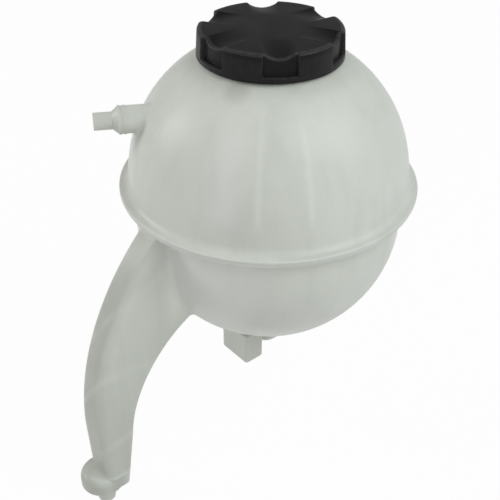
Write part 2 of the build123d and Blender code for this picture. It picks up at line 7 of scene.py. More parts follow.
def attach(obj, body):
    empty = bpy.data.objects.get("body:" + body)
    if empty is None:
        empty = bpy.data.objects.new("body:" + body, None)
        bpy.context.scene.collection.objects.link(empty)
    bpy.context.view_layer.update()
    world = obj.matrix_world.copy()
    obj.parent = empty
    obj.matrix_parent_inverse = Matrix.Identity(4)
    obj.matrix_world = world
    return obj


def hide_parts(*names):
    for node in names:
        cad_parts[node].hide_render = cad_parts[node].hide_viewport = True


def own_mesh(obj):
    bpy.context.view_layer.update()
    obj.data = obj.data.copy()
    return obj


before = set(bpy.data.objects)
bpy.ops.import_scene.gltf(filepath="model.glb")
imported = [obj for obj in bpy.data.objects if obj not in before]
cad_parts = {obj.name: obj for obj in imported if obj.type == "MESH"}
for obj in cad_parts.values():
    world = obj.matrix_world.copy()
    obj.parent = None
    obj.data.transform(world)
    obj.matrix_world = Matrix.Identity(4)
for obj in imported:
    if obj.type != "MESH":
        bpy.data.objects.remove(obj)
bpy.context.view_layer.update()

# Lower half of the tank: a bowl of milky polypropylene, moulded in one piece with the leg, the foot,
# the hook and the outlet. The wall is thin enough for light to pass: painted light draws slanting pale
# lines on the leg's web where ribs stand behind it, and painted shade, partly standing for denser
# plastic, darkens the leg's outer wall more than the web.
MILKY = (0.702, 0.728, 0.674, 1.0)
# The darker colour is painted shade, partly standing for denser plastic; the paler one is painted
# light.
MILKY_DENSE_SHADED = (0.455, 0.476, 0.431, 1.0)
MILKY_LIT = (0.845, 0.862, 0.822, 1.0)
CLOUD_SCALE, CLOUD_TONE = 26.0, 0.15
FLOW_SCALE, FLOW_TONE = 120.0, 0.17
FLOW_STRETCH = (1.0, 1.0, 0.10)
PEEL_SCALE = 160.0
GRAIN_SCALE, GRAIN_SHARE = 1500.0, 0.25
TONE_SHARE = 0.757
LEG_WEB_Y = -0.0085
LEG_SIDE_X = (0.054, 0.044)
LEG_TOP_Z = (0.158, 0.153)
LEG_FOOT_Z, LEG_FOOT_TONE = (-0.004, 0.002), 0.35
LEG_WALL_Z, LEG_WALL_TONE = (0.010, 0.014), 0.65
LEG_LOW_Z, LEG_LOW_TONE = (0.080, 0.050), 0.50
WEB_EDGE_Y = (LEG_WEB_Y + 0.0065, LEG_WEB_Y + 0.0015)
WEB_SHADE_CUT = 0.52
WEB_START, WEB_FADE, WEB_LIGHT = (0.0010, -0.0030), (-0.060, -0.015), 0.14
PATCH_SCALE = 55.0
LEG_LINES = ((0.0177, 0.1294, 0.36), (0.0092, 0.0853, -0.16), (0.0030, 0.0367, 0.15))
LEG_LINE_DROP = 1.43
LEG_LINE_WIDTH, LEG_LINE_LIGHT = (0.0052, 0.0002), 0.17
ROOT_NEAR_X, ROOT_FAR_X = (0.040, 0.050), (0.074, 0.060)
ROOT_Y, ROOT_Z, ROOT_LIGHT = (0.000, -0.006), (0.095, 0.115), 0.40
HOOK_X, HOOK_Z, HOOK_TONE = (0.084, 0.090), (0.0700, 0.0660), 0.60
PIN_Z, PIN_TONE = (-0.0010, -0.0040), 0.30
PIN_END_Z, PIN_END_TONE = (-0.0075, -0.0095), 0.50
RIM_R, RIM_X = (0.0050, 0.0095), (0.012, 0.006)
RIM_TOP_Z, RIM_LOW_Z, RIM_SHADE = (0.0104, 0.0094), (-0.0010, 0.0010), 0.80


class Signal:
    """A socket in a material's node tree: sums and products add Math nodes, node() adds any other."""

    def __init__(self, socket):
        self.socket = socket

    def node(self, kind, settings, sockets, out=0):
        tree = self.socket.id_data
        made = tree.nodes.new("ShaderNode" + kind)
        for name, value in settings.items():
            setattr(made, name, value)
        for name, value in sockets.items():
            if isinstance(value, Signal):
                tree.links.new(value.socket, made.inputs[name])
            else:
                made.inputs[name].default_value = value
        return Signal(made.outputs[out])

    def maths(self, operation, first, second=0.0):
        return self.node("Math", {"operation": operation}, {0: first, 1: second})

    def __add__(self, other):
        return self.maths("ADD", self, other)

    __radd__ = __add__

    def __sub__(self, other):
        return self.maths("SUBTRACT", self, other)

    def __rsub__(self, other):
        return self.maths("SUBTRACT", other, self)

    def __mul__(self, other):
        return self.maths("MULTIPLY", self, other)

    __rmul__ = __mul__

    def size(self):
        return self.maths("ABSOLUTE", self)

    def root(self):
        return self.maths("SQRT", self)

    def ramp(self, start, end, low=0.0, high=1.0):
        """Smooth step from low to high while the value goes from start to end."""
        sockets = {"Value": self, "From Min": start, "From Max": end, "To Min": low, "To Max": high}
        return self.node("MapRange", {"interpolation_type": "SMOOTHSTEP"}, sockets)

    def tint(self, low, high):
        """Colour that goes from low to high with the value."""
        return self.node("Mix", {"data_type": "RGBA"}, {0: self, 6: low, 7: high}, out=2)

    def noise(self, scale, detail=3.0, roughness=0.5):
        """Noise over the coordinates that this socket carries."""
        sockets = {"Vector": self, "Scale": scale, "Detail": detail, "Roughness": roughness}
        return self.node("TexNoise", {}, sockets)

    def stretched(self, scale):
        """The coordinates this socket carries, scaled along each axis."""
        return self.node("Mapping", {}, {"Vector": self, "Scale": scale})

    def bump(self, height, strength, distance):
        """Normals that follow a height."""
        return self.node("Bump", {}, {"Strength": strength, "Distance": distance, "Height": height})

    def axes(self):
        """The three coordinates as values."""
        x = self.node("SeparateXYZ", {}, {0: self})
        return [Signal(socket) for socket in x.socket.node.outputs]


def start_finish(name):
    """New material: its shader and the piece's own coordinates."""
    material = bpy.data.materials.new(name)
    material.use_nodes = True
    tree = material.node_tree
    shader = tree.nodes["Principled BSDF"]
    place = tree.nodes.new("ShaderNodeTexCoord").outputs["Object"]
    return material, shader, Signal(place)


def feed(shader, **sockets):
    """Set or link the shader's sockets, written with _ for a space."""
    for name, value in sockets.items():
        socket = shader.inputs[name.replace("_", " ")]
        if isinstance(value, Signal):
            socket.id_data.links.new(value.socket, socket)
        else:
            socket.default_value = value


def dress(material, *nodes):
    """Give carried-over solids their finish."""
    for node in nodes:
        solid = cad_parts[node]
        if not solid.material_slots:
            solid.data.materials.append(material)
        for slot in solid.material_slots:
            slot.material = material


def milky_shader(shader, place, painted_light, density_and_shade):
    """Satin translucent plastic, paler with painted light and darker with painted shade that partly
    stands for denser plastic.
    """
    cloud = place.noise(CLOUD_SCALE, detail=2.0)
    flow = place.stretched(FLOW_STRETCH).noise(FLOW_SCALE, detail=3.0)
    grain = place.noise(GRAIN_SCALE, detail=2.0)
    peel = place.noise(PEEL_SCALE, detail=2.0)
    tone = cloud.ramp(0.35, 0.70) * CLOUD_TONE + flow.ramp(0.40, 0.75) * FLOW_TONE + density_and_shade
    base = (tone * TONE_SHARE).tint(MILKY, MILKY_DENSE_SHADED)
    base = painted_light.tint(base, MILKY_LIT)
    bump = place.bump(peel + GRAIN_SHARE * grain, strength=0.12, distance=0.0004)
    feed(shader, Base_Color=base, Roughness=cloud.ramp(0.3, 0.7, 0.36, 0.44), Normal=bump)
    feed(shader, IOR=1.49, Subsurface_Weight=0.35, Subsurface_Scale=0.006,
         Subsurface_Radius=(1.0, 1.0, 0.92), Specular_IOR_Level=0.42)


bowl_plastic, shader, place = start_finish("bowl_plastic")
x, y, z = place.axes()
on_leg = x.ramp(*LEG_SIDE_X) * z.ramp(*LEG_TOP_Z)
on_web = y.ramp(*WEB_EDGE_Y)
# Painted light: pale slanting lines where ribs stand behind the web, a paler web below the top rib, and
# light filling the crease where the web meets the bowl.
patches = place.noise(PATCH_SCALE, detail=1.0).ramp(0.32, 0.62, 0.25, 1.0)
leg_lines = []
line_light = 0.0
for start, height, slope in LEG_LINES:
    line = z - height - (x - start) * slope + (y - LEG_WEB_Y) * LEG_LINE_DROP
    leg_lines.append(line)
    line_light = line_light + line.size().ramp(*LEG_LINE_WIDTH) * patches
web_light = leg_lines[0].ramp(*WEB_START) * leg_lines[0].ramp(*WEB_FADE) * on_web
root_light = x.ramp(*ROOT_NEAR_X) * x.ramp(*ROOT_FAR_X) * z.ramp(*ROOT_Z) * y.ramp(*ROOT_Y)
leg_light = (line_light * LEG_LINE_LIGHT + web_light * WEB_LIGHT) * on_leg + root_light * ROOT_LIGHT
# Painted shade on the leg, deepest on its outer wall and low down, partly standing for denser plastic;
# the web, out past its rounded corner, takes less of it.
wall_tone = LEG_WALL_TONE + z.ramp(*LEG_LOW_Z) * LEG_LOW_TONE
leg_tone = z.ramp(*LEG_FOOT_Z) * LEG_FOOT_TONE + z.ramp(*LEG_WALL_Z) * wall_tone
leg_shade = (1.0 - WEB_SHADE_CUT * on_web) * on_leg * leg_tone
# Painted shade: the hook darker, the pin darker towards its end, and the foot's rounded rim, which
# faces the light, darker.
hook_shade = z.ramp(*HOOK_Z) * x.ramp(*HOOK_X) * HOOK_TONE
pin_shade = z.ramp(*PIN_Z) * PIN_TONE + z.ramp(*PIN_END_Z) * PIN_END_TONE
from_pin = (x * x + y * y).root()
rim_shade_mask = z.ramp(*RIM_TOP_Z) * z.ramp(*RIM_LOW_Z) * from_pin.ramp(*RIM_R) * x.ramp(*RIM_X)
milky_shader(shader, place, leg_light, leg_shade + hook_shade + pin_shade + rim_shade_mask * RIM_SHADE)
dress(bowl_plastic, "lower_shell")

# Upper half of the tank: a dome of the same plastic, moulded with the neck, the vent spigot and
# inner ribs. Painted light draws pale streaks where the ribs stand behind the wall, and painted shade
# a dark ring beside the cap, partly the neck's skirt behind the wall, with a dark spot near it; the
# vent spigot gets painted shade too.
TANK_X = 0.1200
RIB_STREAKS = ((212.0, 0.0120, 0.32), (225.0, 0.0026, 0.30), (245.0, 0.0026, 0.30))
RIB_START = (0.0, 0.02)
RIB_LOW_Z, RIB_HIGH_Z = (0.170, 0.181), (0.226, 0.208)
NECK_Z, NECK_RING, NECK_TONE = (0.2200, 0.2240), (0.0470, 0.0370), 0.42
NECK_SPOT, NECK_SPOT_R, NECK_SPOT_TONE = (-0.0352, -0.0175), (0.009, 0.002), 0.6
VENT_WAY, VENT_REACH, VENT_TONE = (-0.866, 0.5), (0.0680, 0.0880), 0.40

dome_plastic, shader, place = start_finish("dome_plastic")
x, y, z = place.axes()
x = x - TANK_X
# Painted light: pale streaks along the angles of the ribs behind the wall.
rib_light = 0.0
for angle, width, light in RIB_STREAKS:
    across = (y * cos(radians(angle)) - x * sin(radians(angle))).size()
    outwards = x * cos(radians(angle)) + y * sin(radians(angle))
    rib_light = rib_light + across.ramp(width, 0.1 * width) * outwards.ramp(*RIB_START) * light
rib_light = rib_light * z.ramp(*RIB_LOW_Z) * z.ramp(*RIB_HIGH_Z)
# Painted shade: a dark ring round the neck under the cap, partly the skirt behind the wall, and a dark
# spot beside it.
from_axis = (x * x + y * y).root()
spot_x, spot_y = x - NECK_SPOT[0], y - NECK_SPOT[1]
from_spot = (spot_x * spot_x + spot_y * spot_y).root()
neck_shade = from_axis.ramp(*NECK_RING) * NECK_TONE + from_spot.ramp(*NECK_SPOT_R) * NECK_SPOT_TONE
# Painted shade on the vent spigot, darker outwards, partly standing for denser plastic.
vent_shade = (x * VENT_WAY[0] + y * VENT_WAY[1]).ramp(*VENT_REACH) * VENT_TONE
milky_shader(shader, place, rib_light, neck_shade * z.ramp(*NECK_Z) + vent_shade)
dress(dome_plastic, "upper_shell")

# Weld between the halves: a thin roll of plastic squeezed out of the joint all round the flange.
# It is a little uneven, as hot-plate welds are, and stays inside the upper flange's rim.
WELD_Z = 0.1589
WELD_R = 0.0793
WELD_BEAD = 0.00042
WELD_UNEVENNESS = 0.0003
WELD_WAVES = 110.0
WELD_POINTS, BEAD_SIDES = 360, 8


def new_recipe(name, *sizes):
    """Empty node tree for a made mesh. Its named sizes and its finish come in from outside."""
    tree = bpy.data.node_groups.new(name, "GeometryNodeTree")
    tree.interface.new_socket("Mesh", in_out="OUTPUT", socket_type="NodeSocketGeometry")
    keys = {}
    kinds = {"Part": "NodeSocketGeometry", "Finish": "NodeSocketMaterial"}
    for title in (*sizes, "Finish"):
        kind = kinds.get(title, "NodeSocketFloat")
        keys[title] = tree.interface.new_socket(title, in_out="INPUT", socket_type=kind).identifier
    return tree, keys, tree.nodes.new("NodeGroupInput").outputs


def step(tree, kind, settings=None, **sockets):
    """Add one node to a recipe: settings first, then values or links by socket name or s and number."""
    made = tree.nodes.new(kind)
    for name, value in (settings or {}).items():
        setattr(made, name, value)
    for name, value in sockets.items():
        target = made.inputs[int(name[1:]) if name[1:].isdigit() else name.replace("_", " ")]
        if hasattr(value, "is_output"):
            tree.links.new(value, target)
        else:
            target.default_value = value
    return made.outputs[0]


def sum_of(tree, operation, first, second=0.0):
    """One Math node in a recipe."""
    return step(tree, "ShaderNodeMath", {"operation": operation}, s0=first, s1=second)


def close_recipe(tree, mesh, finish):
    """Shade smooth, realise and paint the recipe's mesh."""
    mesh = step(tree, "GeometryNodeSetShadeSmooth", Geometry=mesh)
    mesh = step(tree, "GeometryNodeRealizeInstances", Geometry=mesh)
    mesh = step(tree, "GeometryNodeSetMaterial", Geometry=mesh, Material=finish)
    tree.links.new(mesh, tree.nodes.new("NodeGroupOutput").inputs[0])


def make_piece(name, tree, keys, body, material_slot, part=None, **sizes):
    """Plain mesh from a recipe with these sizes, riding on a body; a recipe may repeat a given part."""
    carrier = bpy.data.objects.new(name + "_recipe", part or bpy.data.meshes.new(name + "_recipe"))
    bpy.context.collection.objects.link(carrier)
    modifier = carrier.modifiers.new("recipe", "NODES")
    modifier.node_group = tree
    for title, value in sizes.items():
        modifier[keys[title]] = value
    graph = bpy.context.evaluated_depsgraph_get()
    mesh = bpy.data.meshes.new_from_object(carrier.evaluated_get(graph))
    bpy.data.objects.remove(carrier)
    piece = bpy.data.objects.new(name, mesh)
    bpy.context.collection.objects.link(piece)
    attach(piece, body)
    return piece


def circle(tree, points, radius):
    """Closed circle in a recipe, as a path or as a wire's section."""
    return step(tree, "GeometryNodeCurvePrimitiveCircle", {"mode": "RADIUS"}, Resolution=points,
                Radius=radius)


weld_recipe, weld_keys, size = new_recipe("weld_bead", "Centre_X", "Height", "Radius", "Bead",
                                          "Unevenness")
ring = circle(weld_recipe, WELD_POINTS, size["Radius"])
waves = step(weld_recipe, "ShaderNodeTexNoise", s2=WELD_WAVES)
waves = sum_of(weld_recipe, "SUBTRACT", waves, 0.5)
waves = sum_of(weld_recipe, "MULTIPLY", waves, size["Unevenness"])
height = sum_of(weld_recipe, "ADD", waves, size["Height"])
lift = step(weld_recipe, "ShaderNodeCombineXYZ", X=size["Centre_X"], Z=height)
ring = step(weld_recipe, "GeometryNodeSetPosition", Geometry=ring, Offset=lift)
section = circle(weld_recipe, BEAD_SIDES, size["Bead"])
bead = step(weld_recipe, "GeometryNodeCurveToMesh", Curve=ring, Profile_Curve=section)
close_recipe(weld_recipe, bead, size["Finish"])
make_piece("weld_bead", weld_recipe, weld_keys, "tank", "tank_plastic", Finish=bowl_plastic,
           Centre_X=TANK_X, Height=WELD_Z, Radius=WELD_R, Bead=WELD_BEAD, Unevenness=WELD_UNEVENNESS)

# Neck thread: one ridge with a 4 mm pitch, moulded on the filler neck, running out at both ends.
# The cap's own ridge lies half a pitch below it, so the two slide past each other as the cap turns.
THREAD_PITCH = 0.0040
NECK_R = 0.0270
NECK_THREAD_LOW = 0.2320
NECK_THREAD_TURNS = 0.95
NECK_RIDGE_DEPTH, NECK_RIDGE_WIDTH = 0.0014, 0.0010
RUN_OUT_START, RUN_OUT_SIZE = 0.42, 0.12
THREAD_POINTS, TOOTH_SIDES = 121, 8


def long_line(tree, points):
    """Line of this many points to wind up, and each point's share of its length."""
    line = step(tree, "GeometryNodeCurvePrimitiveLine", {"mode": "POINTS"})
    line = step(tree, "GeometryNodeResampleCurve", Curve=line, Count=points)
    return line, step(tree, "GeometryNodeSplineParameter")


def wound(tree, size, line, angle, height):
    """The line wound round the recipe's centre at these angles and heights."""
    east = sum_of(tree, "MULTIPLY", sum_of(tree, "COSINE", angle), size["Radius"])
    east = sum_of(tree, "ADD", east, size["Centre_X"])
    north = sum_of(tree, "MULTIPLY", sum_of(tree, "SINE", angle), size["Radius"])
    spot = step(tree, "ShaderNodeCombineXYZ", X=east, Y=north, Z=height)
    return step(tree, "GeometryNodeSetPosition", Geometry=line, Position=spot)


thread_recipe, thread_keys, size = new_recipe("thread", "Centre_X", "Low", "Turns", "Start", "Radius",
                                              "Pitch", "Depth", "Width")
line, share = long_line(thread_recipe, THREAD_POINTS)
turned = sum_of(thread_recipe, "MULTIPLY", share, size["Turns"])
angle = sum_of(thread_recipe, "ADD", turned, size["Start"])
angle = sum_of(thread_recipe, "MULTIPLY", angle, 2 * pi)
rise = sum_of(thread_recipe, "MULTIPLY", turned, size["Pitch"])
rise = sum_of(thread_recipe, "ADD", rise, size["Low"])
ridge = wound(thread_recipe, size, line, angle, rise)
ridge = step(thread_recipe, "GeometryNodeSetCurveNormal", {"mode": "Z_UP"}, Curve=ridge)
ends = sum_of(thread_recipe, "ABSOLUTE", sum_of(thread_recipe, "SUBTRACT", share, 0.5))
ends = step(thread_recipe, "ShaderNodeMapRange", {"interpolation_type": "SMOOTHSTEP"}, Value=ends,
            From_Min=RUN_OUT_START, From_Max=0.5, To_Min=1.0, To_Max=RUN_OUT_SIZE)
ridge = step(thread_recipe, "GeometryNodeSetCurveRadius", Curve=ridge, Radius=ends)
tooth = circle(thread_recipe, TOOTH_SIDES, 1.0)
tooth_size = step(thread_recipe, "ShaderNodeCombineXYZ", X=size["Depth"], Y=size["Width"], Z=1.0)
tooth = step(thread_recipe, "GeometryNodeTransform", Geometry=tooth, Scale=tooth_size)
ridge = step(thread_recipe, "GeometryNodeCurveToMesh", Curve=ridge, Profile_Curve=tooth, Fill_Caps=True)
close_recipe(thread_recipe, ridge, size["Finish"])
make_piece("neck_thread", thread_recipe, thread_keys, "tank", "tank_plastic", Finish=dome_plastic,
           Centre_X=TANK_X, Low=NECK_THREAD_LOW, Turns=NECK_THREAD_TURNS, Start=0.0, Radius=NECK_R,
           Pitch=THREAD_PITCH, Depth=NECK_RIDGE_DEPTH, Width=NECK_RIDGE_WIDTH)

# Valve insert: a cup of dark glass-filled nylon that plugs into the neck, with a vented lid pressed in
# at the top. The glass fibres leave a faint flow pattern in the surface.
GREY_NYLON = (0.055, 0.055, 0.058, 1.0)
GREY_NYLON_PALE = (0.085, 0.085, 0.090, 1.0)
FIBRE_STRETCH, FIBRE_SCALE = (1.0, 1.0, 0.25), 420.0
NYLON_GRAIN = 2200.0

valve_nylon, shader, place = start_finish("valve_nylon")
flow = place.stretched(FIBRE_STRETCH).noise(FIBRE_SCALE, detail=4.0, roughness=0.6)
bump = place.bump(place.noise(NYLON_GRAIN), strength=0.15, distance=0.0002)
feed(shader, Base_Color=flow.ramp(0.4, 0.75).tint(GREY_NYLON, GREY_NYLON_PALE),
     Roughness=flow.ramp(0.3, 0.7, 0.42, 0.55), Normal=bump)
dress(valve_nylon, "valve_housing", "spring_lid", "pressure_plate", "vacuum_valve")

# Seals: the O-ring round the insert and the washer under the pressure plate, pressed from black rubber.
# The surface is matt, with a light bloom.
RUBBER = (0.016, 0.016, 0.016, 1.0)
RUBBER_BLOOM = (0.045, 0.045, 0.047, 1.0)
BLOOM_SCALE, BLOOM_SHARE = 300.0, 0.6
RUBBER_GRAIN = 1800.0

seal_rubber, shader, place = start_finish("seal_rubber")
bloom = place.noise(BLOOM_SCALE, detail=4.0)
bump = place.bump(place.noise(RUBBER_GRAIN), strength=0.1, distance=0.0002)
feed(shader, Base_Color=(bloom.ramp(0.5, 0.8) * BLOOM_SHARE).tint(RUBBER, RUBBER_BLOOM),
     Roughness=bloom.ramp(0.3, 0.7, 0.62, 0.78), Normal=bump)
dress(seal_rubber, "neck_seal", "pressure_pad")

# Springs and stem clip: drawn steel wire and strip. Each spring is wound with closed end coils
# and stands between its two seats.
STEEL = (0.52, 0.52, 0.53, 1.0)
STEEL_DULL = (0.36, 0.36, 0.37, 1.0)
PLATE_TOP = 0.223753
LID_LOW = 0.236853
CLIP_LOW = 0.229153
CLOSED_TURNS = 0.75
MAIN_COIL_R, MAIN_WIRE_R, MAIN_TURNS = 0.0114, 0.0008, 5.0
SMALL_COIL_R, SMALL_WIRE_R, SMALL_TURNS = 0.0049, 0.0003, 6.0
COIL_POINTS, WIRE_SIDES = 241, 12
DRAWN_SCALE = 900.0

spring_steel, shader, place = start_finish("spring_steel")
drawn = place.noise(DRAWN_SCALE, detail=3.0)
feed(shader, Base_Color=drawn.ramp(0.35, 0.7).tint(STEEL, STEEL_DULL),
     Roughness=drawn.ramp(0.3, 0.7, 0.28, 0.40), Metallic=1.0)
dress(spring_steel, "stem_clip")

coil_recipe, coil_keys, size = new_recipe("coil", "Centre_X", "Low", "High", "Radius", "Wire", "Turns",
                                          "Closed")
line, share = long_line(coil_recipe, COIL_POINTS)
turned = sum_of(coil_recipe, "MULTIPLY", share, size["Turns"])
angle = sum_of(coil_recipe, "MULTIPLY", turned, 2 * pi)
free_end = sum_of(coil_recipe, "SUBTRACT", size["Turns"], size["Closed"])
low_seat = sum_of(coil_recipe, "ADD", size["Low"], size["Wire"])
high_seat = sum_of(coil_recipe, "SUBTRACT", size["High"], size["Wire"])
rise = step(coil_recipe, "ShaderNodeMapRange", Value=turned, From_Min=size["Closed"], From_Max=free_end,
            To_Min=low_seat, To_Max=high_seat)
wire = wound(coil_recipe, size, line, angle, rise)
section = circle(coil_recipe, WIRE_SIDES, size["Wire"])
wire = step(coil_recipe, "GeometryNodeCurveToMesh", Curve=wire, Profile_Curve=section, Fill_Caps=True)
close_recipe(coil_recipe, wire, size["Finish"])

main_coil = make_piece("pressure_coil", coil_recipe, coil_keys, "valve_insert", "spring_steel",
                       Finish=spring_steel, Centre_X=TANK_X, Low=PLATE_TOP, High=LID_LOW,
                       Radius=MAIN_COIL_R, Wire=MAIN_WIRE_R, Turns=MAIN_TURNS, Closed=CLOSED_TURNS)
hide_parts("pressure_spring")
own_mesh(main_coil)
small_coil = make_piece("vacuum_coil", coil_recipe, coil_keys, "pressure_valve", "spring_steel",
                        Finish=spring_steel, Centre_X=TANK_X, Low=PLATE_TOP, High=CLIP_LOW,
                        Radius=SMALL_COIL_R, Wire=SMALL_WIRE_R, Turns=SMALL_TURNS, Closed=CLOSED_TURNS)
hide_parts("vacuum_spring")
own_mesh(small_coil)

# Screw cap: black nylon, six lobes with scooped grips, moulded with soft edges and a satin grain.
# Painted highlights pale its edges and painted light its lobes' walls, and the surface is a little
# glossier where they lie. One sixth is drawn section by section and repeated round the axis; inside the
# skirt a ridge runs on the neck's thread.
BLACK_NYLON = (0.0042, 0.0042, 0.0040, 1.0)
BLACK_NYLON_PALE = (0.0078, 0.0078, 0.0074, 1.0)
# Colour of the painted highlights and painted light.
LIT_NYLON = (0.0380, 0.0380, 0.0385, 1.0)
CAP_R = 0.0370
CAP_DRAFT = 0.0612
CAP_BOTTOM = 0.230693
CAP_RIM_TOP = 0.233693
CAP_CEILING = 0.240753
CAP_TOP = 0.244753
CAP_CROWN = 0.0003
CAP_LOBE_ROUND = 0.0017
CAP_LIP_ROUND = 0.0012
CAP_GRIPS = 6
CAP_GRIP_ANGLE = radians(-3.6)
CAP_GRIP_HALF = 0.0084
CAP_GRIP_R = 0.0343
CAP_GRIP_BLEND = 0.0008
CAP_LEDGE_LOW, CAP_LEDGE_HIGH = 0.0006, 0.0004
CAP_LEDGE_TOP, CAP_LEDGE_DROP = 0.0006, 0.0014
CAP_SCOOP_START = 0.0160
CAP_SCOOP_END = 0.0331
CAP_SCOOP_HALF = 0.0075
CAP_SCOOP_DEPTH = 0.0028
CAP_SCOOP_RUN, CAP_SCOOP_BOW = 1.5, 0.9
CAP_CORE_HALF = 0.00465
CAP_CORE_BLEND = 0.0002
CAP_CORE_GAP = 0.00005
CAP_CORE_INNER = 0.0316
CAP_CORE_OUTER = 0.0339
CAP_FOOT_EDGE = 0.0004
CAP_BORE_R = 0.0293
RING_GROOVE_R = 0.0299
RING_LOW = 0.237153
RING_TOP = 0.238553
# Painted light on the lobes' walls and painted highlights on the ledge, the notch corners and the top
# edge.
CAP_WALL_LIGHT, CAP_WALL_FADE = 0.25, 0.0020
CAP_LEDGE_HIGHLIGHT, CAP_CORNER_HIGHLIGHT = 1.3, 0.6
CAP_EDGE_HIGHLIGHT = 0.0006
CAP_SECTIONS = 160
CAP_TOP_STEPS, CAP_EDGE_STEPS, CAP_WALL_STEPS, CAP_LEDGE_STEPS = 30, 8, 8, 10
CAP_MERGE = 0.000004
CAP_SMOOTH_ANGLE = radians(50)
CAP_THREAD_START = 0.40
CAP_THREAD_TURNS = 1.10
CAP_RIDGE_DEPTH, CAP_RIDGE_WIDTH = 0.0013, 0.0008
CAP_CLOUD, CAP_GRAIN, CAP_HIGHLIGHT_GRAIN = 60.0, 2600.0, 420.0

cap_nylon, shader, place = start_finish("cap_nylon")
cloud = place.noise(CAP_CLOUD, detail=3.0)
grain = place.noise(CAP_GRAIN, detail=2.0)
# Painted highlights on the edges and painted light on the walls, carried by the mesh; where they lie
# the surface is also a little glossier.
cap_highlight = place.node("Attribute", {"attribute_name": "cap_highlight"}, {}, out=2)
cap_highlight = cap_highlight * place.noise(CAP_HIGHLIGHT_GRAIN).ramp(0.25, 0.60, 0.45, 1.0)
bump = place.bump(grain, strength=0.22, distance=0.0002)
base = cloud.ramp(0.35, 0.7).tint(BLACK_NYLON, BLACK_NYLON_PALE)
feed(shader, Base_Color=cap_highlight.tint(base, LIT_NYLON), Normal=bump,
     Roughness=cloud.ramp(0.3, 0.7, 0.40, 0.50) - 0.10 * cap_highlight, Specular_IOR_Level=0.155)
dress(cap_nylon, "cap_shell", "retaining_ring")


def soft(value, start, end):
    """Smooth step from 0 to 1 while the value goes from start to end."""
    share = min(1.0, max(0.0, (value - start) / (end - start)))
    return share * share * (3.0 - 2.0 * share)


def cap_section(from_grip):
    """Points of the cap's section at an angle from a grip: radius, height and how much painted
    highlight and light it takes.
    """
    from_lobe = pi / CAP_GRIPS - abs(from_grip)
    from_middle = abs(CAP_R * sin(from_grip))
    notch = 1.0 - soft(from_middle, CAP_GRIP_HALF - CAP_GRIP_BLEND, CAP_GRIP_HALF + CAP_GRIP_BLEND)
    core_side = CAP_CORE_INNER * sin(from_lobe)
    core = 1.0 - soft(core_side, CAP_CORE_HALF - CAP_CORE_BLEND, CAP_CORE_HALF + CAP_CORE_BLEND)
    corner = soft(notch, 0.0, 0.15) * soft(notch, 0.6, 0.15)
    rounding = CAP_LOBE_ROUND + (CAP_LIP_ROUND - CAP_LOBE_ROUND) * notch

    def in_grip(z):
        return notch * soft(z, CAP_RIM_TOP - CAP_LEDGE_LOW, CAP_RIM_TOP + CAP_LEDGE_HIGH)

    def wall(z):
        lobe_r = CAP_R - (z - CAP_BOTTOM) * CAP_DRAFT
        return lobe_r + (CAP_GRIP_R - lobe_r) * in_grip(z)

    def top(r):
        aside = min(1.0, abs(r * sin(from_grip)) / CAP_SCOOP_HALF)
        reach = max(0.0, (r - CAP_SCOOP_START) / (CAP_SCOOP_END - CAP_SCOOP_START))
        scoop = CAP_SCOOP_DEPTH * reach ** CAP_SCOOP_RUN * (1.0 - aside ** 2) ** CAP_SCOOP_BOW
        return CAP_TOP - CAP_CROWN * (r / CAP_R) ** 2 - scoop

    # Painted highlight on the ledge and the notch corners, painted light on the lobes' walls.
    def highlight_at(z):
        ledge = CAP_LEDGE_HIGHLIGHT * notch * soft(in_grip(z), 0.0, 0.1) * soft(in_grip(z), 0.7, 0.2)
        wall_light = CAP_WALL_LIGHT * (1.0 - in_grip(z)) * soft(z, low, low - CAP_WALL_FADE)
        return max(wall_light, ledge, CAP_CORNER_HIGHLIGHT * corner * soft(z, CAP_RIM_TOP, ledge_top))

    low = top(wall(CAP_TOP) - rounding) - rounding
    edge = wall(low) - rounding
    across = [edge * i / CAP_TOP_STEPS for i in range(1, CAP_TOP_STEPS + 1)]
    points = [(r, top(r), soft(r, edge - CAP_EDGE_HIGHLIGHT, edge)) for r in across]
    low = points[-1][1] - rounding
    for i in range(1, CAP_EDGE_STEPS):
        a = i * pi / (2 * CAP_EDGE_STEPS)
        points.append((edge + rounding * sin(a), low + rounding * cos(a), soft(a, 1.5, 0.9)))
    ledge_top = CAP_RIM_TOP + CAP_LEDGE_TOP
    heights = [low + (ledge_top - low) * i / CAP_WALL_STEPS for i in range(CAP_WALL_STEPS)]
    heights += [ledge_top - CAP_LEDGE_DROP * i / CAP_LEDGE_STEPS for i in range(CAP_LEDGE_STEPS + 1)]
    heights += [CAP_BOTTOM + CAP_FOOT_EDGE]
    points += [(wall(z), z, highlight_at(z)) for z in heights]
    core_top = CAP_BOTTOM + CAP_CORE_GAP + (CAP_CEILING - CAP_BOTTOM) * core
    inside = [(CAP_R - CAP_FOOT_EDGE, CAP_BOTTOM), (CAP_CORE_OUTER, CAP_BOTTOM),
              (CAP_CORE_OUTER, core_top), (CAP_CORE_INNER, core_top), (CAP_CORE_INNER, CAP_BOTTOM),
              (CAP_BORE_R, CAP_BOTTOM),
              (CAP_BORE_R, RING_LOW), (RING_GROOVE_R, RING_LOW), (RING_GROOVE_R, RING_TOP),
              (CAP_BORE_R, RING_TOP), (CAP_BORE_R, CAP_CEILING), (CAP_BORE_R / 2, CAP_CEILING)]
    return points + [(r, z, 0.0) for r, z in inside]


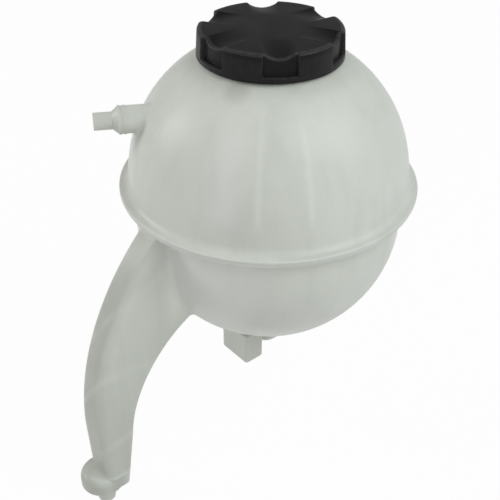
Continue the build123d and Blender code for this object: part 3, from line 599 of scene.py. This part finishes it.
sector_points, sector_highlight = [(0.0, 0.0, CAP_TOP), (0.0, 0.0, CAP_CEILING)], [0.0, 0.0]
for i in range(CAP_SECTIONS + 1):
    angle = (i / CAP_SECTIONS - 0.5) * 2 * pi / CAP_GRIPS
    section = cap_section(angle)
    sector_points += [(r * cos(angle), r * sin(angle), z) for r, z, highlight_here in section]
    sector_highlight += [highlight_here for r, z, highlight_here in section]
sector_faces = []
last = len(section) - 1
for i in range(CAP_SECTIONS):
    here, after = 2 + i * len(section), 2 + (i + 1) * len(section)
    sector_faces += [(here + k, here + k + 1, after + k + 1, after + k) for k in range(last)]
    sector_faces += [(0, here, after), (1, after + last, here + last)]
sector = bpy.data.meshes.new("cap_sector")
sector.from_pydata(sector_points, [], sector_faces)
sector.attributes.new("cap_highlight", "FLOAT", "POINT").data.foreach_set("value", sector_highlight)

lobe_recipe, lobe_keys, size = new_recipe("cap_lobes", "Part", "Centre_X", "Start", "Spacing")
spots = step(lobe_recipe, "GeometryNodePoints", Count=CAP_GRIPS,
             Position=step(lobe_recipe, "ShaderNodeCombineXYZ", X=size["Centre_X"]))
turn = sum_of(lobe_recipe, "MULTIPLY", step(lobe_recipe, "GeometryNodeInputIndex"), size["Spacing"])
turn = step(lobe_recipe, "ShaderNodeCombineXYZ", Z=sum_of(lobe_recipe, "ADD", turn, size["Start"]))
lobes = step(lobe_recipe, "GeometryNodeInstanceOnPoints", Points=spots, Instance=size["Part"],
             Rotation=turn)
lobes = step(lobe_recipe, "GeometryNodeRealizeInstances", Geometry=lobes)
lobes = step(lobe_recipe, "GeometryNodeMergeByDistance", Geometry=lobes, Distance=CAP_MERGE)
close_recipe(lobe_recipe, lobes, size["Finish"])
cap_moulding = make_piece("cap_moulding", lobe_recipe, lobe_keys, "cap", "cap_plastic", part=sector,
                          Finish=cap_nylon, Centre_X=TANK_X, Start=CAP_GRIP_ANGLE,
                          Spacing=2 * pi / CAP_GRIPS)
cap_moulding.data.set_sharp_from_angle(angle=CAP_SMOOTH_ANGLE)
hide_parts("cap_shell")

cap_thread_low = NECK_THREAD_LOW + THREAD_PITCH * (CAP_THREAD_START - 0.5)
make_piece("cap_thread", thread_recipe, thread_keys, "cap", "cap_plastic", Finish=cap_nylon,
           Centre_X=TANK_X, Low=cap_thread_low, Turns=CAP_THREAD_TURNS, Start=CAP_THREAD_START,
           Radius=CAP_BORE_R, Pitch=THREAD_PITCH, Depth=CAP_RIDGE_DEPTH, Width=CAP_RIDGE_WIDTH)

# Studio: a plain white floor under the foot's pin, which takes a faint shadow, an even surround,
# a narrow softbox at the left, a broad one at the right and a weak one in front.
FLOOR_Z = -0.0100
FLOOR_SIZE = 6.0
FLOOR_GREY = (0.70, 0.70, 0.70, 1.0)
FLOOR_GLOW = 0.97
WHITE = (1.0, 1.0, 1.0, 1.0)
SURROUND_COLOUR, SURROUND_STRENGTH = (1.0, 1.0, 0.99, 1.0), 0.445
LAMP_AIM_Z = 0.16

floor_mesh = bpy.data.meshes.new("floor")
half = FLOOR_SIZE / 2
corners = [(x, y, FLOOR_Z) for x, y in ((-half, -half), (half, -half), (half, half), (-half, half))]
floor_mesh.from_pydata(corners, [], [(0, 1, 2, 3)])
floor = bpy.data.objects.new("floor", floor_mesh)
bpy.context.collection.objects.link(floor)


def seen_rays(tree, *kinds):
    """1 on the rays of these kinds, 0 on the others."""
    path = tree.nodes.new("ShaderNodeLightPath")
    rays = [Signal(path.outputs[kind]) for kind in kinds]
    seen = rays[0]
    for ray in rays[1:]:
        seen = seen.maths("MAXIMUM", seen, ray)
    return seen


floor_paint = bpy.data.materials.new("floor_paint")
floor_paint.use_nodes = True
tree = floor_paint.node_tree
tree.nodes.remove(tree.nodes["Principled BSDF"])
seen = seen_rays(tree, "Is Camera Ray", "Is Glossy Ray", "Is Transmission Ray")
matt = seen.node("BsdfDiffuse", {}, {"Color": FLOOR_GREY})
glow = seen.node("Emission", {}, {"Color": WHITE, "Strength": 1.0})
paint = seen.node("MixShader", {}, {0: seen * FLOOR_GLOW, 1: matt, 2: glow})
tree.links.new(paint.socket, tree.nodes["Material Output"].inputs["Surface"])
floor_mesh.materials.append(floor_paint)

world = bpy.data.worlds.new("surround")
bpy.context.scene.world = world
world.use_nodes = True
tree = world.node_tree
seen = seen_rays(tree, "Is Camera Ray", "Is Transmission Ray")
even = tree.nodes["Background"]
even.inputs["Color"].default_value = SURROUND_COLOUR
even.inputs["Strength"].default_value = SURROUND_STRENGTH
white = seen.node("Background", {}, {"Color": WHITE, "Strength": 1.0})
surround = seen.node("MixShader", {}, {0: seen, 1: Signal(even.outputs[0]), 2: white})
tree.links.new(surround.socket, tree.nodes["World Output"].inputs["Surface"])


def softbox(name, towards, distance, width, height, watts, colour):
    """Rectangular studio light that faces the tank."""
    lamp = bpy.data.lights.new(name, "AREA")
    lamp.shape = "RECTANGLE"
    lamp.size, lamp.size_y = width, height
    lamp.energy = watts
    lamp.color = colour
    light = bpy.data.objects.new(name, lamp)
    bpy.context.collection.objects.link(light)
    direction = Vector(towards).normalized()
    light.location = Vector((TANK_X, 0.0, LAMP_AIM_Z)) + direction * distance
    light.rotation_euler = (-direction).to_track_quat("-Z", "Y").to_euler()


softbox("left_box", towards=(-0.607, 0.689, 0.397), distance=1.2, width=0.18, height=0.46, watts=3.7,
        colour=(1.0, 0.985, 0.965))
softbox("right_box", towards=(0.260, -0.680, 0.685), distance=1.2, width=1.0, height=0.8, watts=6.1,
        colour=(0.955, 1.0, 1.0))
softbox("front_box", towards=(-0.660, -0.680, 0.320), distance=1.3, width=1.0, height=1.0, watts=1.9,
        colour=(1.0, 1.0, 1.0))

# Camera: at the photograph's place, with its slight roll, so the picture frames the tank
# as the photograph does.
CAMERA_PLACE = (-0.15281, -0.30835, 0.40415)
CAMERA_AIM = (0.09846, -0.01064, 0.12665)
CAMERA_ROLL = 0.302
CAMERA_LENS = 63.45
CAMERA_SENSOR = 36.0

view = bpy.data.cameras.new("photo_view")
view.lens = CAMERA_LENS
view.sensor_width = CAMERA_SENSOR
camera = bpy.data.objects.new("photo_view", view)
bpy.context.collection.objects.link(camera)
camera.location = CAMERA_PLACE
camera.rotation_mode = "QUATERNION"
look = (Vector(CAMERA_AIM) - Vector(CAMERA_PLACE)).to_track_quat("-Z", "Y")
camera.rotation_quaternion = look @ Quaternion((0, 0, 1), radians(CAMERA_ROLL))
bpy.context.scene.camera = camera
bpy.context.scene.view_settings.view_transform = "Standard"
